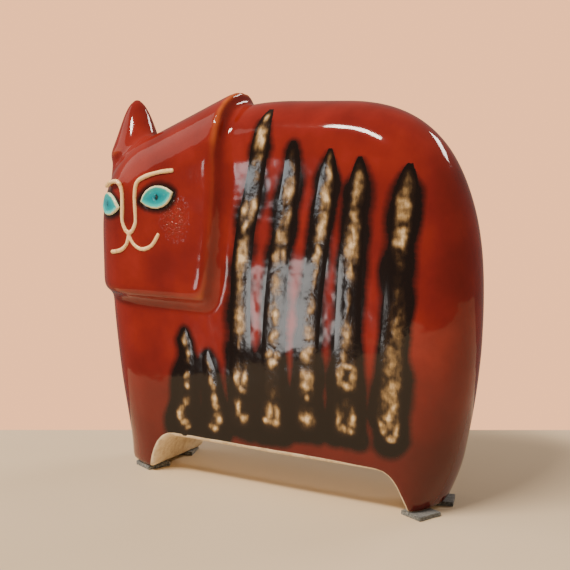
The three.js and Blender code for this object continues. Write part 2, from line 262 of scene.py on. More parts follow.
def red_stoneware_glaze():
    """A thick iron-red gloss glaze over buff clay. It breaks orange where it runs thin on
    edges, goes burnt black round the stripes and stops short of the feet, on bare clay."""
    material, node, shader, place = new_material("red_stoneware_glaze", 0.07, 1.44)
    painted = {name: node(ATTRIBUTE, {"attribute_name": name}).outputs["Fac"]
               for name in ("soot", "deep", "thin", "clay", "pitted")}
    cloud = node(NOISE, {"Scale": 1 / (22 * MM), "Detail": 4}, {"Vector": place}).outputs[0]
    speckle = node(NOISE, {"Scale": 1 / (1.6 * MM), "Detail": 2}, {"Vector": place}).outputs[0]
    reds = ((0.3, "#701d17"), (0.52, "#82231b"), (0.75, "#942c20"))
    red = node(RAMP, {"stops": reds}, {"Fac": cloud}).outputs[0]
    # Painted shade: the red darkens towards #471510 low down and towards the rear, where less light falls.
    shaded_red = node(MIX, {"data_type": "RGBA", 7: rgba("#471510")}, {0: painted["deep"], 6: red})
    uneven = {"operation": "MULTIPLY_ADD", 1: 0.12, 2: -0.06}
    crumbs = node(MATH, uneven, {0: speckle}).outputs[0]
    soot = node(MATH, {"operation": "ADD", "use_clamp": True}, {0: painted["soot"], 1: crumbs})
    fade = ((0.0, "#000000"), (0.25, "#3c3c3c"), (0.6, "#d0d0d0"), (0.85, "#ffffff"))
    burnt = node(RAMP, {"stops": fade}, {"Fac": soot.outputs[0]}).outputs[0]
    # Painted shade: the same mask makes the blacks darker low down and towards the rear.
    blacks = {"data_type": "RGBA", 6: rgba("#160c09"), 7: rgba("#050202")}
    black = node(MIX, blacks, {0: painted["deep"]}).outputs[MIXED_COLOUR]
    dark = node(MIX, {"data_type": "RGBA"}, {0: burnt, 6: shaded_red.outputs[MIXED_COLOUR], 7: black})
    patchy = node(MATH, {"operation": "ADD", 1: 0.3}, {0: cloud}).outputs[0]
    runs_thin = {"operation": "MULTIPLY", "use_clamp": True}
    thin = node(MATH, runs_thin, {0: painted["thin"], 1: patchy}).outputs[0]
    broken = {"data_type": "RGBA", 7: rgba("#bb5f2c")}
    glaze = node(MIX, broken, {0: thin, 6: dark.outputs[MIXED_COLOUR]}).outputs[MIXED_COLOUR]

    ragged = node(MATH, {"operation": "MULTIPLY_ADD", 1: 0.9, 2: -0.45}, {0: cloud}).outputs[0]
    clay_edge = node(MATH, {"operation": "ADD"}, {0: painted["clay"], 1: ragged}).outputs[0]
    shore = {"From Min": -0.15, "From Max": 0.15, "interpolation_type": "SMOOTHSTEP"}
    bare = node(RANGE, shore, {"Value": clay_edge}).outputs[0]
    crumb = {"Scale": 1 / (3 * MM), "Detail": 5, "Roughness": 0.6}
    crumbly = node(NOISE, crumb, {"Vector": place}).outputs[0]
    buffs = ((0.3, "#d2bb94"), (0.6, "#eedebd"))
    clay = node(RAMP, {"stops": buffs}, {"Fac": crumbly}).outputs[0]
    colour = node(MIX, {"data_type": "RGBA"}, {0: bare, 6: glaze, 7: clay}).outputs[MIXED_COLOUR]
    rough = node(RANGE, {"To Min": 0.07, "To Max": 0.8}, {"Value": bare}).outputs[0]

    peel = node(NOISE, {"Scale": 1 / (7 * MM), "Detail": 1}, {"Vector": place}).outputs[0]
    rolling = node(BUMP, {"Strength": 0.35, "Distance": 0.25 * MM}, {"Height": peel}).outputs[0]
    grog = node(NOISE, {"Scale": 1 / (0.9 * MM), "Detail": 3}, {"Vector": place}).outputs[0]
    grit = node(MATH, {"operation": "MULTIPLY"}, {0: grog, 1: bare}).outputs[0]
    sandy = {"Strength": 0.8, "Distance": 0.35 * MM}
    gritty = node(BUMP, sandy, {"Height": grit, "Normal": rolling}).outputs[0]
    pinholes = node(NOISE, {"Scale": 1 / (1.5 * MM), "Detail": 2}, {"Vector": place}).outputs[0]
    holes = node(RAMP, {"stops": ((0.5, "#000000"), (0.62, "#ffffff"))}, {"Fac": pinholes})
    pits = node(MATH, {"operation": "MULTIPLY"}, {0: holes.outputs[0], 1: painted["pitted"]})
    sunken = {"Strength": 0.9, "Distance": 0.3 * MM}
    normal = node(BUMP, sunken, {"Height": pits.outputs[0], "Normal": gritty}).outputs[0]
    return give(material, shader, Base_Color=colour, Roughness=rough, Normal=normal)


def slip_relief_glaze():
    """Buff slip trailed under a black-brown glaze that runs off its high spots: cream on the
    lumps, khaki and brown where the glaze is thin, burnt black beside them. Glossy."""
    material, node, shader, place = new_material("slip_relief_glaze", 0.1, 1.44)
    slip = node(ATTRIBUTE, {"attribute_name": "slip"}).outputs["Fac"]
    mottled = {"Scale": 1 / (2.4 * MM), "Detail": 5, "Roughness": 0.65}
    mottle = node(NOISE, mottled, {"Vector": place}).outputs[0]
    drawn_out = node(MAPPING, {"Scale": (1.6, 1.6, 0.4)}, {"Vector": place}).outputs[0]
    streaked = {"Scale": 1 / (1.8 * MM), "Detail": 3, "Roughness": 0.6}
    streak = node(NOISE, streaked, {"Vector": drawn_out}).outputs[0]
    broken = node(MATH, {"operation": "MULTIPLY_ADD", 1: 1.1, 2: -0.55}, {0: mottle}).outputs[0]
    streaky = node(MATH, {"operation": "MULTIPLY_ADD", 1: 0.9, 2: -0.45}, {0: streak}).outputs[0]
    both = node(MATH, {"operation": "ADD"}, {0: broken, 1: streaky}).outputs[0]
    uneven = node(MATH, {"operation": "MULTIPLY"}, {0: slip, 1: both}).outputs[0]
    clamped_sum = {"operation": "ADD", "use_clamp": True}
    amount = node(MATH, clamped_sum, {0: slip, 1: uneven}).outputs[0]
    black_to_cream = ((0.1, "#140b08"), (0.26, "#2b1d11"), (0.42, "#5c482f"), (0.62, "#93784f"),
                      (0.82, "#bda277"), (1.0, "#e6cda2"))
    colour = node(RAMP, {"stops": black_to_cream}, {"Fac": amount}).outputs[0]
    rough = node(RANGE, {"To Min": 0.06, "To Max": 0.16}, {"Value": amount}).outputs[0]
    lumpy = node(NOISE, {"Scale": 1 / (1.7 * MM), "Detail": 1}, {"Vector": place}).outputs[0]
    relief = node(MATH, {"operation": "MULTIPLY"}, {0: amount, 1: lumpy}).outputs[0]
    normal = node(BUMP, {"Strength": 0.7, "Distance": 0.16 * MM}, {"Height": relief}).outputs[0]
    return give(material, shader, Base_Color=colour, Roughness=rough, Normal=normal)


def cream_slip():
    """Cream slip laid in as a string and glazed clear: pale, smooth and slightly uneven."""
    material, node, shader, place = new_material("cream_slip", 0.22)
    toned = {"Scale": 1 / (2.2 * MM), "Detail": 4, "Roughness": 0.6}
    tone = node(NOISE, toned, {"Vector": place}).outputs[0]
    creams = ((0.28, "#dca15f"), (0.4, "#ffd492"), (0.7, "#ffe3b0"))
    colour = node(RAMP, {"stops": creams}, {"Fac": tone}).outputs[0]
    normal = node(BUMP, {"Strength": 0.4, "Distance": 0.25 * MM}, {"Height": tone}).outputs[0]
    return give(material, shader, Base_Color=colour, Normal=normal)


def turquoise_glaze():
    """Copper-turquoise glaze pooled inside a cream slip rim: darker where it is deep."""
    material, node, shader, place = new_material("turquoise_glaze", 0.08, 1.48)
    inward = node(ATTRIBUTE, {"attribute_name": "inward"}).outputs["Fac"]
    pupil = node(ATTRIBUTE, {"attribute_name": "pupil"}).outputs["Fac"]
    clouded = {"Scale": 1 / (3.5 * MM), "Detail": 4, "Roughness": 0.6}
    cloud = node(NOISE, clouded, {"Vector": place}).outputs[0]
    wobble = node(MATH, {"operation": "MULTIPLY_ADD", 1: 0.22, 2: -0.11}, {0: cloud}).outputs[0]
    depth = node(MATH, {"operation": "ADD", "use_clamp": True}, {0: inward, 1: wobble}).outputs[0]
    rim_to_deep = ((0.05, "#f1e0b6"), (0.13, "#cfe3b8"), (0.2, "#43c8bd"), (0.5, "#12a3ab"),
                   (1.0, "#0b8794"))
    pool = node(RAMP, {"stops": rim_to_deep}, {"Fac": depth}).outputs[0]
    dotted = {"data_type": "RGBA", 7: rgba("#1c2021")}
    colour = node(MIX, dotted, {0: pupil, 6: pool}).outputs[MIXED_COLOUR]
    normal = node(BUMP, {"Strength": 0.5, "Distance": 0.2 * MM}, {"Height": cloud}).outputs[0]
    return give(material, shader, Base_Color=colour, Normal=normal)


def bare_clay():
    """Unglazed buff stoneware, scraped smooth: dry, with fine grog and darker specks."""
    material, node, shader, place = new_material("bare_clay", 0.85)
    clouded = {"Scale": 1 / (9 * MM), "Detail": 5, "Roughness": 0.6}
    cloud = node(NOISE, clouded, {"Vector": place}).outputs[0]
    grog = node(NOISE, {"Scale": 1 / (0.8 * MM), "Detail": 3}, {"Vector": place}).outputs[0]
    buffs = ((0.3, "#d0b98f"), (0.6, "#ecdab8"), (0.8, "#f1e4c8"))
    buff = node(RAMP, {"stops": buffs}, {"Fac": cloud}).outputs[0]
    few = ((0.27, "#ffffff"), (0.33, "#000000"))
    specks = node(RAMP, {"stops": few}, {"Fac": grog}).outputs[0]
    speckled = {"data_type": "RGBA", 7: rgba("#8c6f4c")}
    colour = node(MIX, speckled, {0: specks, 6: buff}).outputs[MIXED_COLOUR]
    normal = node(BUMP, {"Strength": 0.7, "Distance": 0.3 * MM}, {"Height": grog}).outputs[0]
    return give(material, shader, Base_Color=colour, Normal=normal)


def wool_felt():
    """Pressed grey wool felt: matted fibres light and dark, soft and dull. The fibres are
    drawn coarser than real ones, so that they show."""
    material, node, shader, place = new_material("wool_felt", 0.95)
    shader.inputs["Sheen Weight"].default_value = 0.4
    matted = {"Scale": 1 / (0.7 * MM), "Detail": 6, "Roughness": 0.75}
    fibre = node(NOISE, matted, {"Vector": place}).outputs[0]
    combed = node(MAPPING, {"Scale": (0.3, 2.2, 1.0)}, {"Vector": place}).outputs[0]
    crossing = {"Scale": 1 / (1.2 * MM), "Detail": 4, "Roughness": 0.7}
    across = node(NOISE, crossing, {"Vector": combed}).outputs[0]
    both = node(MATH, {"operation": "ADD"}, {0: fibre, 1: across}).outputs[0]
    mixed = node(MATH, {"operation": "MULTIPLY", 1: 0.5}, {0: both}).outputs[0]
    greys = ((0.38, "#2c3133"), (0.5, "#5b605f"), (0.63, "#999c96"))
    colour = node(RAMP, {"stops": greys}, {"Fac": mixed}).outputs[0]
    normal = node(BUMP, {"Strength": 0.9, "Distance": 0.5 * MM}, {"Height": mixed}).outputs[0]
    return give(material, shader, Base_Color=colour, Normal=normal)


def painted_board():
    """A plain pale matt board, its paint a little warmer in places."""
    material, node, shader, place = new_material("pale_floor", 0.5)
    tone = node(NOISE, {"Scale": 1 / (140 * MM), "Detail": 2}, {"Vector": place}).outputs[0]
    pales = ((0.3, "#dac8a8"), (0.7, "#e1cfb0"))
    colour = node(RAMP, {"stops": pales}, {"Fac": tone}).outputs[0]
    return give(material, shader, Base_Color=colour)


# ---------------------------------------------------------------- stage

SENSOR = 36.0
LENS = 78.95
VIEW_AZIMUTH = math.radians(30.5)
VIEW_PITCH = math.radians(9.09)
CAMERA_PLACE = Vector((282.6 * MM, MIDDLE_Y - 479.2 * MM, 180 * MM))
# The board's edges, seen from the camera, in metres from the middle of the figure.
FLOOR_LEFT = -0.235
FLOOR_RIGHT = 0.7
FLOOR_FRONT = -0.4
FLOOR_BACK = 0.086


def make_camera():
    data = bpy.data.cameras.new("view")
    data.sensor_width = SENSOR
    data.lens = LENS
    data.clip_start = 0.01
    camera = bpy.data.objects.new("view", data)
    camera.location = CAMERA_PLACE
    camera.rotation_euler = (math.pi / 2 - VIEW_PITCH, 0, VIEW_AZIMUTH)
    bpy.context.scene.collection.objects.link(camera)
    bpy.context.scene.camera = camera


def softbox(name, place, target, width, height, power, colour, mirrored=True):
    """An area light turned to its target; unless it is mirrored, the glaze doesn't show it."""
    data = bpy.data.lights.new(name, "AREA")
    data.shape = "RECTANGLE"
    data.size = width
    data.size_y = height
    data.energy = power
    data.color = rgba(colour)[:3]
    light = bpy.data.objects.new(name, data)
    light.location = place
    light.rotation_euler = (Vector(target) - Vector(place)).to_track_quat("-Z", "Y").to_euler()
    light.visible_glossy = mirrored
    bpy.context.scene.collection.objects.link(light)


def make_stage():
    """A plain pale board, soft lights, and a plain wall colour that only the camera sees."""
    bm = bmesh.new()
    turn = Matrix.Rotation(VIEW_AZIMUTH, 4, "Z")
    bmesh.ops.create_grid(bm, x_segments=2, y_segments=2, size=0.5)
    bmesh.ops.scale(bm, vec=(FLOOR_RIGHT - FLOOR_LEFT, FLOOR_BACK - FLOOR_FRONT, 1), verts=bm.verts)
    middle = ((FLOOR_LEFT + FLOOR_RIGHT) / 2, (FLOOR_BACK + FLOOR_FRONT) / 2, 0)
    bmesh.ops.translate(bm, vec=middle, verts=bm.verts)
    bmesh.ops.transform(bm, matrix=turn, verts=bm.verts)
    floor = link("floor", mesh_from(bm, "floor"))
    floor.data.materials.append(painted_board())
    target = (0, 0, 0.09)
    softbox("ceiling_softbox", (-0.30, -0.80, 1.3), target, 0.75, 0.16, 32, "#ffeedd")
    softbox("low_window_softbox", (-0.795, -1.398, -0.21), target, 0.145, 0.13, 0.56, "#f6f4f0")
    softbox("high_window_softbox", (-0.85, -1.35, 0.06), target, 0.09, 0.10, 0.27, "#eef4f6")
    softbox("fill_softbox", (-2.0, -0.6, 1.05), target, 1.7, 1.5, 10, "#ffe9d8")
    softbox("soft_fill_softbox", (-2.0, -0.6, 1.05), target, 1.7, 1.5, 17, "#ffe9d8", False)
    softbox("back_softbox", (0.6, 1.3, 1.0), target, 0.7, 0.2, 10, "#fff1e6")
    world = bpy.data.worlds.new("studio")
    bpy.context.scene.world = world
    world.use_nodes = True
    tree = world.node_tree
    tree.nodes.clear()
    wall = add(tree, BACKGROUND, {"Color": rgba("#ffb581"), "Strength": 1.97})
    dim_room = add(tree, BACKGROUND, {"Color": rgba("#d8c4b6"), "Strength": 0.42})
    path = add(tree, "ShaderNodeLightPath")
    sources = {0: path.outputs["Is Camera Ray"], 1: dim_room.outputs[0], 2: wall.outputs[0]}
    seen = add(tree, "ShaderNodeMixShader", links=sources)
    add(tree, "ShaderNodeOutputWorld", links={"Surface": seen.outputs[0]})


# ---------------------------------------------------------------- the glazed skin

def arch_gap(co):
    """How far each point is from the bare surfaces between the feet."""
    bm = merged_copy(["near_half", "far_half"])
    bm.normal_update()
    middle_x = (panel_lo.x + panel_hi.x) / 2
    kept = []
    for face in bm.faces:
        centre = face.calc_center_median()
        inward = face.normal.x * (middle_x - centre.x) > 0 or face.normal.z < -0.7
        low = FOOT_Z + 0.1 * MM < centre.z < BELLY_Z + 0.1 * MM
        if low and inward and abs(face.normal.y) < 0.3 and face.normal.z < 0.3:
            kept.append(face)
    others = [f for f in bm.faces if f not in set(kept)]
    bmesh.ops.delete(bm, geom=others, context="FACES")
    tree = BVHTree.FromBMesh(bm)
    bm.free()
    low = co[:, 2] < BELLY_Z + 12 * MM
    gap = np.full(len(co), 12 * MM)
    gap[low] = [tree.find_nearest(Vector(p))[3] for p in co[low]]
    return gap


def body_clay():
    """The two pressed halves as one smooth body, its hollow closed behind the belly panel."""
    bm = merged_copy(["near_half", "far_half"])
    centre = (panel_lo + panel_hi) / 2
    centre.z = panel_hi.z + 3 * MM
    size = panel_hi - panel_lo + Vector((6, 6, 0)) * MM
    block = Matrix.Translation(centre) @ Matrix.Diagonal((size.x, size.y, 5 * MM, 1))
    bmesh.ops.create_cube(bm, size=1, matrix=block)
    mesh = remeshed(mesh_from(bm, "body"), SKIN_VOXEL, "body")
    co = points_of(mesh)
    above_soles = step(FOOT_Z + 1 * MM, FOOT_Z + 10 * MM, co[:, 2])
    off_the_arch = step(2 * MM, 9 * MM, arch_gap(co))
    relax(mesh, 60, np.minimum(off_the_arch, above_soles))
    relax(mesh, 5)
    return mesh


def head_clay():
    """Head and ears, with the grooves of the face filled flush."""
    sink = 0.75 * MM
    flat_on_cheek = ("near_brow_line", "far_brow_line", "mouth_line", "near_eye")
    shifts = {name: Vector((0, sink, 0)) for name in flat_on_cheek}
    shifts["far_eye"] = Vector((0.45 * sink, 0.9 * sink, 0))
    bm = merged_copy(["head", "near_ear", "far_ear", *shifts], shifts)
    ear_root(bm)
    mesh = remeshed(mesh_from(bm, "head"), SKIN_VOXEL, "head")
    co = points_of(mesh)
    round_ear = step(34 * MM, 22 * MM, np.linalg.norm(co - np.array(EAR_TIP), axis=1))
    relax(mesh, 90, np.maximum(0.055, round_ear * step(6 * MM, 18 * MM, EAR_TIP.z - co[:, 2])))
    return mesh


def ear_root(bm):
    """Clay smeared from the far ear down to the face, so that one runs into the other."""
    ball = 9.6 * MM
    low = Vector((head_lo.x + ball + 0.6 * MM, MIDDLE_Y - 4 * MM, head_lo.z + 43 * MM))
    high = Vector((EAR_TIP.x + 1.6 * MM, EAR_TIP.y - 5.5 * MM, EAR_TIP.z - 19 * MM))
    root = bmesh.new()
    for centre, radius in ((low, ball), (high, ball * 0.92)):
        bmesh.ops.create_icosphere(root, subdivisions=3, radius=radius, matrix=Matrix.Translation(centre))
    hull = bmesh.ops.convex_hull(root, input=root.verts)
    spare = {v for key in ("geom_interior", "geom_unused") for v in hull[key]
             if isinstance(v, bmesh.types.BMVert)}
    bmesh.ops.delete(root, geom=list(spare), context="VERTS")
    inner = [f for f in root.faces if f not in set(hull["geom"])]
    bmesh.ops.delete(root, geom=inner, context="FACES")
    bmesh.ops.recalc_face_normals(root, faces=root.faces)
    mesh = mesh_from(root, "ear_root")
    bm.from_mesh(mesh)
    bpy.data.meshes.remove(mesh)


def edge_points(name):
    """Points along the edges of one CAD piece."""
    bm = merged_copy([name])
    points = spread_points(bm, 2 * MM)
    bm.free()
    return points


def stripe_shape(name):
    """Points down a stripe and along its two edges, drawn in to a point at the top."""
    heights, middles, halves = stripe_course(name)
    lo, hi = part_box(name)
    point = POINTED_SHARE * (hi.z - lo.z)
    taper = np.sqrt(np.clip((heights[0] - heights) / point, 0, 1))
    return [Vector((x, (lo.y + hi.y) / 2, z)) for share in (-1, 0, 1)
            for x, z in zip(middles + share * halves * taper, heights)]


def round_feet(co):
    """Draws the feet in towards their soles at the ends and the sides of the slab."""
    low = np.clip((FOOT_Z + 24 * MM - co[:, 2]) / (24 * MM), 0, 1) ** 2
    rear = step(40 * MM, 60 * MM, co[:, 0])
    front = step(-60 * MM, -75 * MM, co[:, 0])
    outer = step(near_hi.x - 24 * MM, near_hi.x - 10 * MM, co[:, 0])
    co[:, 0] -= low * outer * 5.0 * MM
    co[:, 0] -= low * front * 2.3 * MM
    across = co[:, 1] - MIDDLE_Y
    co[:, 1] -= low * (rear + front) * np.sign(across) * step(10 * MM, 20 * MM, np.abs(across)) * 1.0 * MM


def glazed_skin():
    """Body, head and ears as one surface, its joints rubbed smooth, dented, then glazed."""
    bm = bmesh.new()
    bm.from_mesh(body_clay())
    bm.from_mesh(head_clay())
    mesh = remeshed(mesh_from(bm, "skin"), SKIN_VOXEL, "glazed_skin")
    co = points_of(mesh)
    from_seam = distance_to(head_rim(), co)
    from_tip = np.linalg.norm(co - np.array(EAR_TIP), axis=1)
    weight = np.maximum(step(5.5 * MM, 1.5 * MM, from_seam), 0.12) * step(2 * MM, 12 * MM, from_tip)
    gap = arch_gap(co)
    relax(mesh, 34, weight * step(1 * MM, 4 * MM, gap))
    co = points_of(mesh)
    thin = convexity(mesh)
    from_tip = np.linalg.norm(co - np.array(EAR_TIP), axis=1)
    co[:, 2] += 1.2 * MM * step(13 * MM, 1 * MM, from_tip)
    round_feet(co)
    put_points(mesh, co)
    co = co + normals_of(mesh) * dents(co)[:, None]
    put_points(mesh, co)
    relax(mesh, 2)
    paint_skin(mesh, thin, gap)
    shade_smooth(mesh)
    skin = link("glazed_body", mesh)
    skin.data.materials.append(red_stoneware_glaze())
    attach(skin, "root")
    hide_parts("near_half", "far_half", "head", "near_ear", "far_ear")
    return skin


def head_rim():
    """Points along the rim where the head and ears meet the body."""
    body = BVHTree.FromBMesh(merged_copy(["near_half", "far_half"]))
    bm = merged_copy(["head", "near_ear", "far_ear"])
    points = [p for p in spread_points(bm, 2 * MM) if body.find_nearest(p)[3] < 0.6 * MM]
    bm.free()
    return [p for p in points if p.y < SIDE_NEAR + 1 * MM or p.z > near_hi.z - 45 * MM
            or p.x < near_lo.x + 30 * MM]


def convexity(mesh):
    """How sharply the surface turns outwards, in metres over a few millimetres."""
    mean = neighbour_mean(mesh)
    co = points_of(mesh)
    soft = co.copy()
    for _ in range(10):
        soft = 0.5 * soft + 0.5 * mean(soft)
    return np.einsum("ij,ij->i", co - soft, normals_of(mesh))


def dents(co):
    """Hand-made unevenness, and the low ridge that each slip stripe makes under the glaze."""
    ridge_height = 0.04 * MM
    ridge_reach = 6.5 * MM
    height = 0.26 * MM * lumps(co, 38 * MM, 1) + 0.05 * MM * lumps(co, 12 * MM, 2)
    for stripe in STRIPE_NODES:
        away = distance_to(edge_points(stripe), co)
        height += ridge_height * np.exp(-(away / ridge_reach) ** 2)
    return height


def soot(co, wobble):
    """How burnt the glaze is: black round the stripes, wider low down, and round the eyes."""
    z = co[:, 2]
    burnt = np.zeros(len(co))
    for stripe in STRIPE_NODES:
        away = distance_to(stripe_shape(stripe), co) + wobble
        lo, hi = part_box(stripe)
        reach = (4.6 + 2.0 * step(72 * MM, 40 * MM, z) + 2.0 * step(38 * MM, 28 * MM, z)) * MM
        reach *= 0.5 + 0.5 * step(-5 * MM, POINTED_SHARE * (hi.z - lo.z), hi.z - z)
        burnt = np.maximum(burnt, step(reach + 3.6 * MM, reach - 3.2 * MM, away))
    for eye_node in ("near_eye", "far_eye"):
        away = distance_to(edge_points(eye_node), co) + 0.5 * wobble
        burnt = np.maximum(burnt, 0.85 * step(4.6 * MM, 0.4 * MM, away))
    return burnt


def unglazed(co, gap):
    """Bare clay above 0: soles, the arch and its narrow rim, and two chips; glaze below 0."""
    z = co[:, 2]
    underneath = np.abs(co[:, 1] - MIDDLE_Y) < (SIDE_FAR - SIDE_NEAR) / 2 - 2.5 * MM
    arch = underneath & (z < BELLY_Z + 8 * MM) & (gap < 9 * MM)
    arch &= (co[:, 0] > panel_lo.x - 6 * MM) & (co[:, 0] < panel_hi.x + 6 * MM)
    rim_width = (1.9 - 0.8 * step(20 * MM, 62 * MM, co[:, 0])) * MM
    rim = (rim_width - gap) / (1 * MM)
    sole = step(FOOT_Z + 0.7 * MM, FOOT_Z + 0.1 * MM, z) * 2 - 1
    bare = np.where(arch, 1.5, np.maximum(rim, 1.5 * sole))
    chips = (Vector((near_lo.x + 7.5 * MM, MIDDLE_Y - 8 * MM, FOOT_Z + 27 * MM)),
             Vector((near_hi.x - 17 * MM, SIDE_NEAR + 1 * MM, FOOT_Z + 44 * MM)))
    bare = np.maximum(bare, (1.3 * MM - distance_to(chips, co)) / (0.5 * MM))
    return np.clip(bare, -1.5, 1.5)


def paint_skin(mesh, thin, gap):
    """Writes where the glaze is burnt, thin, pitted or missing, and the painted shade that darkens it low
    down and towards the rear.
    """
    co = points_of(mesh)
    z = co[:, 2]
    wobble = 2.4 * MM * lumps(co, 11 * MM, 3)
    # Painted shade: darker glaze low down and towards the rear, where less light falls.
    deep = 0.7 * step(75 * MM, 14 * MM, z) + 0.2 * step(50 * MM, 95 * MM, co[:, 0])
    eye_lo, eye_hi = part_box("near_eye")
    under_eye = np.array((eye_hi.x + 1 * MM, SIDE_NEAR, eye_lo.z - 4 * MM))
    from_under_eye = np.linalg.norm((co - under_eye) * (1, 0.5, 0.8), axis=1)
    from_tip = np.linalg.norm(co - np.array(EAR_TIP), axis=1)
    edges = step(0.1 * MM, 0.45 * MM, smooth_values(mesh, thin, 1))
    edges *= step(8 * MM, 20 * MM, from_tip) * step(30 * MM, 60 * MM, z)
    put_attribute(mesh, "pitted", step(10 * MM, 3 * MM, from_under_eye + wobble))
    put_attribute(mesh, "soot", soot(co, wobble))
    put_attribute(mesh, "deep", np.clip(deep, 0, 1))
    put_attribute(mesh, "thin", edges)
    put_attribute(mesh, "clay", smooth_values(mesh, unglazed(co, gap), 1))


# ---------------------------------------------------------------- stripes

# Lumps of slip along each stripe, from the top: height up the body and place across the
# stripe, half width and half length, all in millimetres, and how thick the slip lies.
SLIP = {
    1: ((66, 0, 2.2, 4, 0.8), (59, 0.4, 1.6, 3, 0.75), (49, 0, 1.3, 1.7, 0.9), (45, 0.6, 1.5, 2, 1.0),
        (37, 0.4, 1.5, 1.8, 0.95), (31, -1.8, 1.8, 3.4, 1.0), (27, 0.2, 1.8, 1.6, 0.9),
        (25, 2.6, 1.8, 1.5, 0.9)),
    2: ((56, 0, 1.2, 4, 0.55), (47, 0.3, 1.7, 3.4, 0.95), (39, 0, 1.9, 3.8, 1.0),
        (31, 1.2, 2.2, 3, 1.0), (26.5, -0.6, 2.6, 1.6, 1.0)),
    3: ((166, 0.3, 1.6, 2.6, 0.9), (158, 0, 3.0, 5.2, 0.95), (148, 0, 2.2, 3.4, 0.7),
        (141, 0, 1.4, 4, 0.5), (126, -3, 2.2, 4.2, 1.0), (127, 2.2, 2.2, 5, 1.0),
        (119, -0.6, 1.6, 3, 0.9), (107, 0, 2.8, 6.5, 1.0), (93, 0, 1.8, 6, 0.85),
        (78, 0, 2.6, 6.5, 1.0), (69, 0, 1.2, 4, 0.8), (52, -1.6, 1.7, 4, 1.0), (52, 2, 1.6, 4, 0.95),
        (46, 0.8, 1.6, 1.6, 1.0), (37.5, -0.8, 1.8, 3, 1.0), (33.5, 1.6, 1.6, 2.2, 0.95)),
    4: ((146, 0, 1.5, 5, 0.5), (136, -0.6, 2.6, 5, 0.9), (124, 0.6, 2.4, 4.4, 0.85),
        (116, -0.4, 3, 3.4, 0.8), (108, 1.6, 2.0, 3, 1.0), (107, -2.4, 2, 3.6, 0.9),
        (95, 0, 2.4, 5, 0.8), (82, 0, 2.6, 4.5, 0.9), (72, 0, 2.8, 3.4, 0.9), (64, -2, 1.6, 1.8, 1.0),
        (64, 2, 1.6, 1.8, 1.0), (60, 0.3, 2.0, 2.2, 1.0), (48, 0, 3.4, 9, 0.32),
        (38, -1.5, 1.9, 3.2, 1.0), (38, 2.6, 1.9, 3.4, 1.0), (34, -3.4, 1.8, 1.5, 1.0),
        (33.5, 0.8, 2.6, 1.6, 1.0)),
    5: ((145, 0, 1.7, 6, 0.85), (134, 0, 2.4, 6, 1.0), (122, 0, 2.6, 7, 1.0), (110, 0, 1.7, 5, 0.9),
        (99, 0, 1.5, 5, 0.7), (86, 0, 2.0, 5, 0.8), (75, 0, 2.2, 3.5, 0.85), (66, 0, 2.6, 3.6, 1.0),
        (54, -0.3, 2.6, 5, 1.0), (47, 0.2, 1.5, 1.6, 0.9), (37.5, 0, 3.1, 2.9, 1.0)),
    6: ((138, 0, 2.8, 6.5, 0.9), (127, 0.3, 2.2, 4, 0.75), (115, 0, 3.2, 8.5, 1.0),
        (103, 0.4, 1.6, 4, 0.9), (89, 0, 0.9, 7, 0.6), (76, -0.5, 2.4, 6, 0.85),
        (67, -1.4, 1.6, 3, 0.8), (59, -3.1, 1.7, 4, 1.0), (59, 3.1, 1.7, 4, 1.0),
        (62.5, 0, 3, 1.6, 0.9), (54.5, 0, 2.6, 1.7, 1.0), (46, 0, 3, 4, 0.3), (40, -3.2, 1.6, 3.4, 1.0),
        (40, 3.2, 1.7, 3.6, 1.0), (35.5, -1.4, 1.7, 1.6, 1.0), (35, 1.8, 1.8, 1.6, 1.0)),
    7: ((142, 0, 2.6, 4, 0.45), (131, 0, 3.6, 7, 0.9), (119, 0, 2.9, 4.6, 1.0), (109, 0, 1.8, 4, 0.35),
        (94, 0.4, 2.6, 9, 0.3), (80, 0.8, 3.4, 12, 0.52), (66, 0.2, 4.4, 14, 0.62),
        (54, 0.8, 4.2, 12, 0.74), (46, 1.2, 3.0, 8, 0.85), (38, -3.4, 1.9, 3.8, 1.0),
        (38, 3.2, 1.9, 3.8, 1.0), (42.5, 0, 3.2, 1.6, 0.95), (34, 0, 3.4, 1.8, 1.0)),
}
STRIPE_MARGIN = 3.4 * MM  # the glazed strip reaches this far past its CAD ribbon
BORDER = 4.2 * MM  # and fades into the body's glaze over this
CELL_WIDTH = 0.55 * MM
CELL_HEIGHT = 0.62 * MM
STRIP_DEPTH = 1.2 * MM  # into the clay under it


def stripe_course(name):
    """Heights down a stripe, with its middle and half width at each, read from its CAD ribbon."""
    bm = merged_copy([name])
    edges = np.array([[*e.verts[0].co, *e.verts[1].co] for e in bm.edges])
    bm.free()
    lo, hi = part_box(name)
    heights = np.linspace(hi.z - 0.2 * MM, lo.z + 0.2 * MM, 40)
    middles = []
    halves = []
    for z in heights:
        crossing = edges[(edges[:, 2] - z) * (edges[:, 5] - z) <= 0]
        rise = crossing[:, 5] - crossing[:, 2]
        share = (z - crossing[:, 2]) / np.where(rise == 0, 1, rise)
        x = crossing[:, 0] + share * (crossing[:, 3] - crossing[:, 0])
        middles.append((x.min() + x.max()) / 2)
        halves.append((x.max() - x.min()) / 2)
    kernel = np.ones(5) / 5
    smooth_middle = np.convolve(np.pad(middles, 2, mode="edge"), kernel, mode="valid")
    smooth_half = np.convolve(np.pad(halves, 2, mode="edge"), kernel, mode="valid")
    return heights, smooth_middle, smooth_half


def slip_thickness(number, across, height):
    """How thick the slip lies at a place on a stripe, from 0 to about 1."""
    amount = 0.0
    for z, x, half_width, half_length, thickness in SLIP[number]:
        reach = ((across / MM - x) / half_width) ** 2 + ((height / MM - z) / half_length) ** 2
        if reach < 16:
            amount = max(amount, thickness * (0.6 * math.exp(-0.9 * reach) + 0.26 * math.exp(-0.2 * reach)))
    return amount


